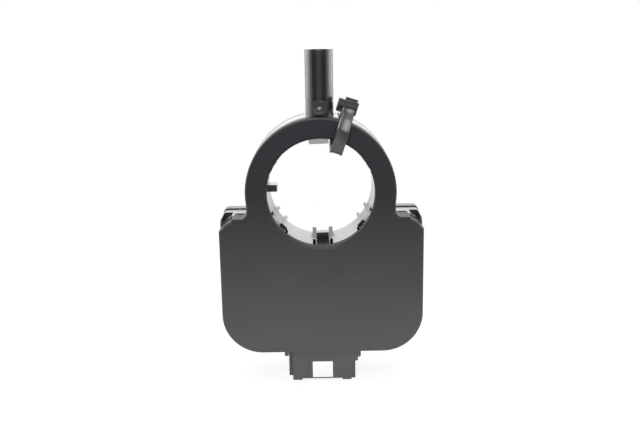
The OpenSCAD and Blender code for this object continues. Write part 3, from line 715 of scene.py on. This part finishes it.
class StudioSettings(bpy.types.PropertyGroup):
    """Camera, floor and lamps."""

    distance: FloatProperty(
        name="Distance", description="From the camera to the bore's centre", default=0.295, unit="LENGTH",
    )
    elevation: FloatProperty(
        name="Elevation", description="How far the camera looks down",
        default=math.radians(12.9), subtype="ANGLE",
    )
    roll: FloatProperty(
        name="Roll", description="Turn of the camera about its own axis",
        default=math.radians(-0.92), subtype="ANGLE",
    )
    aim_drop: FloatProperty(
        name="Aim drop", description="How far the camera's axis passes below the bore's centre",
        default=0.007,
        unit="LENGTH",
    )
    aim_left: FloatProperty(
        name="Aim left", description="How far the camera's axis passes left of the bore's centre",
        default=0.0004,
        unit="LENGTH",
    )
    focal_pixels: FloatProperty(
        name="Focal length", description="Focal length in pixels of the 640 pixel picture", default=804.0,
    )
    floor_size: FloatProperty(
        name="Floor size", description="Width of the floor and backdrop", default=2.4, unit="LENGTH",
    )
    floor_colour: FloatVectorProperty(
        name="Floor colour", description="Base colour of the floor and backdrop",
        default=(0.9, 0.9, 0.9), subtype="COLOR", min=0.0, max=1.0,
    )
    side_power: FloatProperty(
        name="Side lamps", description="Power of each side lamp", default=6.5, unit="POWER",
    )
    top_power: FloatProperty(
        name="Top lamp", description="Power of the lamp overhead", default=8.0, unit="POWER",
    )
    back_power: FloatProperty(
        name="Back lamp", description="Power of the low lamp behind the object", default=1.9, unit="POWER",
    )
    front_power: FloatProperty(
        name="Front lamp", description="Power of the lamp above the camera", default=10.0, unit="POWER",
    )
    mirrored_floor: FloatProperty(
        name="Mirrored floor", description="Strength with which glossy surfaces show the backdrop",
        default=0.9,
        min=0.0, max=1.0,
    )
    sky: FloatProperty(
        name="Sky", description="Strength of the even light from all round", default=0.11, min=0.0,
    )
    shadow_reach: FloatProperty(
        name="Shadow reach", description="Distance to which the floor shows its shadow",
        default=0.3, unit="LENGTH",
    )
    near_white: FloatProperty(
        name="Near white", description="Share of plain white in the floor beside the object", default=0.84,
        min=0.0, max=1.0,
    )
    # Painted shade: the floor takes this darker colour in front of the object, standing in for light falling
    # off towards the camera
    painted_falloff_colour: FloatVectorProperty(
        name="Dark colour", description="Base colour of the floor in front of the object",
        default=(0.2, 0.2, 0.2), subtype="COLOR", min=0.0, max=1.0,
    )
    floor_start: FloatProperty(
        name="Floor start", description="Depth in front of the object at which the floor starts to darken",
        default=-0.1, unit="LENGTH",
    )
    floor_end: FloatProperty(
        name="Floor end", description="Depth in front of the object at which the floor has darkened",
        default=-0.5, unit="LENGTH",
    )


# Operators


class SENSOR_OT_finish_solids(bpy.types.Operator):
    """Give every solid the finish of its material slot"""

    bl_idname = "sensor.finish_solids"
    bl_label = "Finish the solids"

    def execute(self, context):
        finishes = make_finishes()
        for part in frame["record"]["subparts"]:
            solid = frame["nodes"][part["node"]]
            solid.data.materials.clear()
            solid.data.materials.append(finishes[part["material_slot"]])
        return {"FINISHED"}


def shoulder_outline(sizes, top, inner):
    """Outline of a shoulder's corner, rounded at its upper outer end."""
    edge = sizes.half_width
    radius = sizes.shoulder_radius
    corner = arc((edge - radius, top - radius), radius, 0, math.pi / 2, 8)
    return [(inner, SHOULDER_FOOT), (edge, SHOULDER_FOOT), *corner, (inner, top)]


def both(outline):
    """An outline and its twin on the other side of the bore."""
    return outline, [(-x, z) for x, z in reversed(outline)]


class SENSOR_OT_rotor(bpy.types.Operator):
    """Model the rotor with an upright lower tab, a ramp on the upper one, a wider key and short hooks"""

    bl_idname = "sensor.rotor"
    bl_label = "Rotor"

    def execute(self, context):
        sizes = context.scene.sensor_moulding
        rotor = merged_copy("rotor_hub", "rotor_sleeve")
        half_tab = sizes.tab_width / 2
        half_clip = sizes.clip_width / 2
        seat = sizes.sleeve + ROOT
        front, back = TAB_DEPTHS
        upright = math.pi - sizes.lean
        face = block((-half_tab, front, sizes.tab_tip), (half_tab, back, seat), upright)
        work(rotor, face, "UNION")
        front, back = HOOK_DEPTHS
        for side in (-1, 1):
            turn = upright - side * sizes.clip_turn
            left, right = sorted((-side * half_clip * 1.05, -side * (half_clip - sizes.hook_width)))
            gap = block((left, front, HOOK_TIP), (right, back, sizes.sleeve - 0.0001), turn)
            work(rotor, gap, "DIFFERENCE")
        work(rotor, self.upper_clearance(sizes), "DIFFERENCE")
        work(rotor, self.ramp(sizes), "UNION")
        half_key = sizes.key_height / 2
        front, back = KEY_DEPTHS
        key = block((-seat, front, -half_key), (-sizes.key_tip, back, half_key))
        work(rotor, key, "UNION")
        finish_piece(rotor, "rotor_hub", "rotor")
        return {"FINISHED"}

    def ramp(self, sizes):
        """A lead-in ramp in front of the upper tab, which rises to the sleeve at its front end."""
        half_ramp = sizes.ramp_width / 2
        piece = block(
            (-half_ramp, sizes.ramp_front, sizes.ramp_tip), (half_ramp, RAMP_BACK, sizes.sleeve + ROOT)
        )
        rise = sizes.sleeve - sizes.ramp_tip
        select_where(piece, lambda first, second: max(first.y, second.y) < sizes.ramp_front + NEAR
                     and max(first.z, second.z) < sizes.ramp_tip + NEAR, "EDGE")
        bpy.ops.transform.translate(value=(0, 0, rise))
        bpy.ops.object.mode_set(mode="OBJECT")
        piece.data.transform(Matrix.Rotation(-sizes.lean, 4, "Y"))
        return piece

    def upper_clearance(self, sizes):
        """Half a disc above the bore's axis, which shortens the upper hooks."""
        deselect()
        bpy.ops.mesh.primitive_cylinder_add(
            vertices=96, radius=sizes.sleeve - sizes.hook_left, depth=HOOK_REACH,
            location=(0, HOOK_DEPTHS[0] + HOOK_REACH / 2, 0), rotation=(math.pi / 2, 0, 0),
        )
        disc = bpy.context.object
        bpy.ops.object.transform_apply(location=True, rotation=True, scale=True)
        bpy.ops.object.mode_set(mode="EDIT")
        bpy.ops.mesh.select_all(action="SELECT")
        bpy.ops.mesh.bisect(plane_co=(0, 0, 0.0005), plane_no=(0, 0, 1), use_fill=True, clear_inner=True)
        bpy.ops.object.mode_set(mode="OBJECT")
        return disc


class SENSOR_OT_housing(bpy.types.Operator):
    """Model the main housing with closed shoulder corners, their pockets and a wider guide post"""

    bl_idname = "sensor.housing"
    bl_label = "Main housing"

    def execute(self, context):
        sizes = context.scene.sensor_moulding
        housing = merged_copy("main_housing", "housing_shell")
        front, back = HOUSING_SHOULDER_DEPTHS
        inner = HOUSING_SHOULDER_INNER
        for outline in both(shoulder_outline(sizes, sizes.shoulder, inner)):
            shoulder = plate(outline, front, back)
            select_where(shoulder, lambda first, second: max(first.y, second.y) < front + NEAR
                         and min(abs(first.x), abs(second.x)) > inner + NEAR, "EDGE")
            bpy.ops.mesh.bevel(offset=0.0007, segments=2)
            bpy.ops.object.mode_set(mode="OBJECT")
            work(housing, shoulder, "UNION")
        for outline in both(self.pocket_outline(sizes)):
            work(housing, plate(outline, *POCKET_DEPTHS), "DIFFERENCE")
        self.swell_stalk(housing, sizes)
        finish_piece(housing, "main_housing", "housing")
        return {"FINISHED"}

    def pocket_outline(self, sizes):
        """Outline of a shoulder pocket, which follows the cover's two scallops."""
        edge = sizes.half_width
        outer = edge - sizes.pocket_wall
        top = sizes.shoulder + 0.002
        scallops = [(edge - inset, height) for inset, height in SCALLOPS]
        return [(scallops[0][0], top), *scallops, (outer, SCALLOP_END), (outer, top)]

    def swell_stalk(self, housing, sizes):
        """Widen the guide post, and give its foot the same width."""
        low, high = STALK_FOOT
        swell = sizes.stalk_swell
        select_where(housing, lambda first, second: min(first.z, second.z) > high - 2 * NEAR, "EDGE")
        bpy.ops.transform.resize(value=(swell, swell, 1), center_override=(0, STALK_DEPTH, high))
        deselect()
        bpy.ops.mesh.primitive_cylinder_add(
            vertices=96, radius=STALK_RADIUS * swell, depth=high - low,
            location=(0, STALK_DEPTH, (low + high) / 2),
        )
        work(housing, bpy.context.object, "UNION")


class SENSOR_OT_rear_cover(bpy.types.Operator):
    """Model the rear cover with shoulders that stand above the housing's"""

    bl_idname = "sensor.rear_cover"
    bl_label = "Rear cover"

    def execute(self, context):
        sizes = context.scene.sensor_moulding
        rear = merged_copy("rear_cover", "rear_shell")
        front, back = REAR_SHOULDER_DEPTHS
        top = sizes.shoulder + sizes.rear_rise
        for outline in both(shoulder_outline(sizes, top, REAR_SHOULDER_INNER)):
            shoulder = plate(outline, front, back)
            select_where(shoulder, lambda first, second: min(first.y, second.y) > back - NEAR
                         and min(first.z, second.z) > SHOULDER_FOOT + NEAR, "EDGE")
            bpy.ops.mesh.bevel(offset=0.0008, segments=4)
            bpy.ops.object.mode_set(mode="OBJECT")
            work(rear, shoulder, "UNION")
        finish_piece(rear, "rear_cover", "housing")
        return {"FINISHED"}


class SENSOR_OT_cable_tie(bpy.types.Operator):
    """Model the cable tie: a strap with rails, its folds, the head and the cut tail"""

    bl_idname = "sensor.cable_tie"
    bl_label = "Cable tie"

    def execute(self, context):
        tie = context.scene.sensor_tie
        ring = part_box("rear_cover")[1].z
        self.head_low = ring + tie.head_lift
        self.head_high = self.head_low + tie.head_height
        strap = self.add_strap(tie, ring)
        head = self.add_head(tie)
        teeth = self.add_teeth(tie)
        deselect()
        for piece in (head, *teeth, strap):
            piece.select_set(True)
        context.view_layer.objects.active = strap
        bpy.ops.object.join()
        strap.name = "cable_tie_strap"
        strap.data.transform(Matrix.Rotation(tie.lean, 4, "Y") @ Matrix.Translation((tie.shift, 0, 0)))
        finish_piece(strap, "cable_tie", "housing", 40)
        return {"FINISHED"}

    def strap_path(self, tie, ring):
        """Middle line in depth and height: cut tail, window, hump, front run, bore, back, top and head."""
        low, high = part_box("cable_tie")
        front = low.y + tie.thickness / 2
        back = high.y - tie.thickness / 2
        top = ring + 0.00025 + tie.thickness / 2
        inner = tie.bore_reach
        fold = tie.fold
        right = math.pi / 2
        tail = tie.head_front + tie.tail_inset
        head_back = tie.head_front + tie.head_depth

        def route(steps, depth, height):
            return [(depth + back_step, height + rise) for back_step, rise in steps]

        to_head = [*route(BACK_RISE, head_back, top), *route([BACK_ENTRY], head_back, self.head_low)]
        return [
            (tail, self.head_high + tie.tail),
            *route(TAIL_BEND, tail, self.head_low),
            *route(FRONT_HUMP, front, self.head_low),
            *arc((front + fold, inner + fold), fold, 2 * right, 3 * right, 6),
            *arc((back - fold, inner + fold), fold, -right, 0, 6),
            *arc((back - fold, top - fold), fold, 0, right, 6),
            *to_head,
        ]

    def add_strap(self, tie, ring):
        """A ribbon that is pulled along its path, given its thickness, and channelled between two rails."""
        path = self.strap_path(tie, ring)
        (start_y, start_z), (_, second_z) = path[:2]
        columns = 6
        deselect()
        bpy.ops.mesh.primitive_grid_add(
            x_subdivisions=columns, y_subdivisions=1, size=1, location=(0, start_y, (start_z + second_z) / 2),
            rotation=(math.pi / 2, 0, 0),
        )
        strap = bpy.context.object
        strap.scale = (tie.width, start_z - second_z, 1)
        bpy.ops.object.transform_apply(location=True, rotation=True, scale=True)
        middle = (start_z + second_z) / 2
        select_where(strap, lambda first, second: max(first.z, second.z) < middle, "EDGE")
        for before, after in zip(path[1:], path[2:]):
            bpy.ops.mesh.extrude_region_move(
                TRANSFORM_OT_translate={"value": (0, after[0] - before[0], after[1] - before[1])}
            )
        bpy.ops.object.mode_set(mode="OBJECT")
        side_count = len(strap.data.polygons)
        apply_modifier(strap, "SOLIDIFY", thickness=tie.thickness, offset=0.0, use_even_offset=True)
        clear = tie.width / 2 - tie.rail
        bpy.ops.object.mode_set(mode="EDIT")
        bpy.ops.mesh.select_mode(type="FACE")
        bpy.ops.mesh.select_all(action="DESELECT")
        bpy.ops.object.mode_set(mode="OBJECT")
        for face in strap.data.polygons[:2 * side_count]:
            face.select = abs(face.center.x) < clear and self.faces_out(face, path)
        bpy.ops.object.mode_set(mode="EDIT")
        bpy.ops.mesh.inset(thickness=0.0001, depth=-tie.channel)
        bpy.ops.object.mode_set(mode="OBJECT")
        round_edges(strap, tie.edge_bevel)
        return strap

    def faces_out(self, face, path):
        """Whether a face of the strap lies on its outer side, away from the ring it is wound round."""
        depth, height = (sum(values) / len(path) for values in zip(*path))
        away = face.center - Vector((0, depth, height))
        away.x = 0
        return face.normal.dot(away) > 0

    def add_head(self, tie):
        """The head: a block with the strap's window, a hollow cheek on the left and rounded edges."""
        centre = (tie.head_shift, tie.head_front + tie.head_depth / 2, (self.head_low + self.head_high) / 2)
        deselect()
        bpy.ops.mesh.primitive_cube_add(size=1, location=centre)
        head = bpy.context.object
        head.scale = (tie.head_width, tie.head_depth, tie.head_height)
        bpy.ops.object.transform_apply(location=True, rotation=True, scale=True)
        window = tie.width / 2 + 0.0001
        cheek = (tie.head_shift - tie.head_width / 2 + 0.0003, -window - 0.0002)
        sill = self.head_low + 0.0003
        lintel = sill + tie.window_height
        for x in (-window, window, *cheek):
            bisect(head, (x, 0, 0), (1, 0, 0))
        for z in (sill, lintel):
            bisect(head, (0, 0, z), (0, 0, 1))
        for left, right, depth in ((-window, window, tie.window_depth), (*cheek, tie.cheek_depth)):
            select_where(
                head,
                lambda middle, normal: normal.y < -0.9 and left < middle.x < right
                and sill < middle.z < lintel,
            )
            bpy.ops.mesh.extrude_region_move(TRANSFORM_OT_translate={"value": (0, depth, 0)})
            bpy.ops.object.mode_set(mode="OBJECT")
        round_edges(head, 0.0002)
        return head

    def add_teeth(self, tie):
        """The tail's ratchet teeth: one wedge, copied up the tail."""
        tail_y = tie.head_front + tie.tail_inset
        pitch = tie.tooth_pitch
        deselect()
        bpy.ops.mesh.primitive_cube_add(size=1, location=(0, tail_y - tie.thickness / 2, self.head_high))
        tooth = bpy.context.object
        tooth.scale = (tie.width - 2 * tie.rail, 0.0004, pitch * 0.6)
        bpy.ops.object.transform_apply(location=True, rotation=True, scale=True)
        select_where(tooth, lambda first, second: max(first.y, second.y) < tail_y - tie.thickness / 2
                     and abs(first.z - second.z) < pitch / 9, "EDGE")
        bpy.ops.mesh.bevel(offset=0.0001, segments=1)
        bpy.ops.object.mode_set(mode="OBJECT")
        copy = tooth.copy()
        copy.data = tooth.data.copy()
        copy.data.transform(Matrix.Translation((0, 0, pitch)))
        bpy.context.collection.objects.link(copy)
        return [tooth, copy]


class SENSOR_OT_studio(bpy.types.Operator):
    """Add the floor, the lamps, the world and the camera"""

    bl_idname = "sensor.studio"
    bl_label = "Studio"

    def execute(self, context):
        studio = context.scene.sensor_studio
        self.add_floor(studio)
        self.add_lamps(studio)
        self.add_world(context, studio)
        self.add_camera(context, studio)
        context.scene.view_settings.view_transform = "Standard"
        return {"FINISHED"}

    def add_floor(self, studio):
        """A pale sweep: the floor runs back and curves up into the backdrop."""
        low = CAD_BOX[0].z
        half = studio.floor_size / 2
        deselect()
        bpy.ops.mesh.primitive_plane_add(size=studio.floor_size, location=(0, 0, low))
        sweep = bpy.context.object
        sweep.name = "sweep"
        select_where(sweep, lambda first, second: min(first.y, second.y) > half * 0.9, "EDGE")
        bend_radius = 0.5
        steps = 16
        for step in range(steps):
            angle = math.pi / 2 * (step + 0.5) / steps
            run = bend_radius * math.pi / 2 / steps
            bpy.ops.mesh.extrude_region_move(
                TRANSFORM_OT_translate={"value": (0, run * math.cos(angle), run * math.sin(angle))}
            )
        bpy.ops.mesh.extrude_region_move(TRANSFORM_OT_translate={"value": (0, 0, studio.floor_size)})
        bpy.ops.object.mode_set(mode="OBJECT")
        bpy.ops.object.transform_apply(location=True, rotation=True, scale=True)
        bpy.ops.object.shade_smooth()
        sweep.data.materials.append(self.sweep_paper(studio))

    def sweep_paper(self, studio):
        """White paper that the camera sees near white, with the object's shadow kept. In front of the object
        it is painted darker, and glows less in reflections, as painted fall-off of the light.
        """
        recipe = Recipe("sweep paper")
        depth = recipe.along(1)
        side = recipe.along(0)
        height = recipe.along(2)
        away = (side * side + depth * depth + height * height) ** 0.5
        open_floor = recipe.ramp(away, studio.shadow_reach / 2, studio.shadow_reach)
        # Painted shade: the floor darkens from floor_start to floor_end in front of the object, standing in
        # for light falling off towards the camera
        behind = recipe.ramp(depth, studio.floor_end, studio.floor_start)
        colour = recipe.mix(behind, tuple(studio.painted_falloff_colour), tuple(studio.floor_colour))
        paper = recipe.node("ShaderNodeBsdfDiffuse", None, {"Color": colour})
        glow = recipe.node("ShaderNodeEmission", None, {"Color": (1, 1, 1, 1), "Strength": 1.0})
        seen = recipe.node("ShaderNodeLightPath", output=0)
        mirrored = recipe.node("ShaderNodeLightPath", output=3)
        near = studio.near_white
        white = seen * (near + open_floor * (1.0 - near)) + mirrored * behind * studio.mirrored_floor
        shown = recipe.node("ShaderNodeMixShader", None, {0: white, 1: paper, 2: glow})
        recipe.node("ShaderNodeOutputMaterial", None, {"Surface": shown})
        return recipe.material

    def add_lamps(self, studio):
        """Soft boxes at both sides, overhead and low behind the object."""
        for name, power, size, location in (
            ("left box", studio.side_power, (0.9, 0.7), (-0.75, 0.25, 0.28)),
            ("right box", studio.side_power, (0.9, 0.7), (0.75, 0.25, 0.28)),
            ("top box", studio.top_power, (1.2, 1.0), (0.0, 0.25, 0.8)),
            ("back box", studio.back_power, (1.3, 0.5), (0.0, 1.0, 0.3)),
            ("front box", studio.front_power, (0.9, 0.7), (0.0, -0.75, 0.75)),
        ):
            deselect()
            bpy.ops.object.light_add(type="AREA", location=location)
            lamp = bpy.context.object
            lamp.name = name
            lamp.data.shape = "RECTANGLE"
            lamp.data.size, lamp.data.size_y = size
            lamp.data.energy = power
            lamp.rotation_euler = look_at(location, (0, 0.01, 0)).to_euler()
            lamp.visible_camera = False

    def add_world(self, context, studio):
        world = bpy.data.worlds.new("studio world")
        context.scene.world = world
        world.use_nodes = True
        background = world.node_tree.nodes["Background"]
        background.inputs["Color"].default_value = (1, 1, 1, 1)
        background.inputs["Strength"].default_value = studio.sky

    def add_camera(self, context, studio):
        """The photograph's view: level with the ring, looking slightly down."""
        along = Vector((0, math.cos(studio.elevation), -math.sin(studio.elevation)))
        up = Vector((0, math.sin(studio.elevation), math.cos(studio.elevation)))
        location = -along * studio.distance - up * studio.aim_drop - Vector((studio.aim_left, 0, 0))
        deselect()
        bpy.ops.object.camera_add(location=location)
        camera = bpy.context.object
        camera.name = "view"
        camera.rotation_mode = "QUATERNION"
        roll = Matrix.Rotation(studio.roll, 3, "Z").to_quaternion()
        camera.rotation_quaternion = along.to_track_quat("-Z", "Y") @ roll
        camera.data.sensor_width = SENSOR_WIDTH
        camera.data.lens = studio.focal_pixels * SENSOR_WIDTH / IMAGE_WIDTH
        camera.data.clip_start = 0.01
        context.scene.camera = camera


class SENSOR_PT_panel(bpy.types.Panel):
    """The sensor's steps, in order"""

    bl_label = "Steering Angle Sensor"
    bl_space_type = "VIEW_3D"
    bl_region_type = "UI"
    bl_category = "Sensor"

    def draw(self, context):
        for step in STEPS:
            self.layout.operator(step.bl_idname)


STEPS = (
    SENSOR_OT_finish_solids, SENSOR_OT_rotor, SENSOR_OT_housing, SENSOR_OT_rear_cover, SENSOR_OT_cable_tie,
    SENSOR_OT_studio,
)
CLASSES = (SensorFinish, MouldingSizes, CableTieSizes, StudioSettings, *STEPS, SENSOR_PT_panel)


def register():
    for item in CLASSES:
        bpy.utils.register_class(item)
    bpy.types.Scene.sensor_finish = PointerProperty(type=SensorFinish)
    bpy.types.Scene.sensor_moulding = PointerProperty(type=MouldingSizes)
    bpy.types.Scene.sensor_tie = PointerProperty(type=CableTieSizes)
    bpy.types.Scene.sensor_studio = PointerProperty(type=StudioSettings)


def unregister():
    del bpy.types.Scene.sensor_studio
    del bpy.types.Scene.sensor_tie
    del bpy.types.Scene.sensor_moulding
    del bpy.types.Scene.sensor_finish
    for item in reversed(CLASSES):
        bpy.utils.unregister_class(item)


def main():
    register()
    bpy.ops.sensor.finish_solids()
    bpy.ops.sensor.rotor()
    bpy.ops.sensor.housing()
    bpy.ops.sensor.rear_cover()
    bpy.ops.sensor.cable_tie()
    bpy.ops.sensor.studio()


if __name__ == "__main__":
    main()
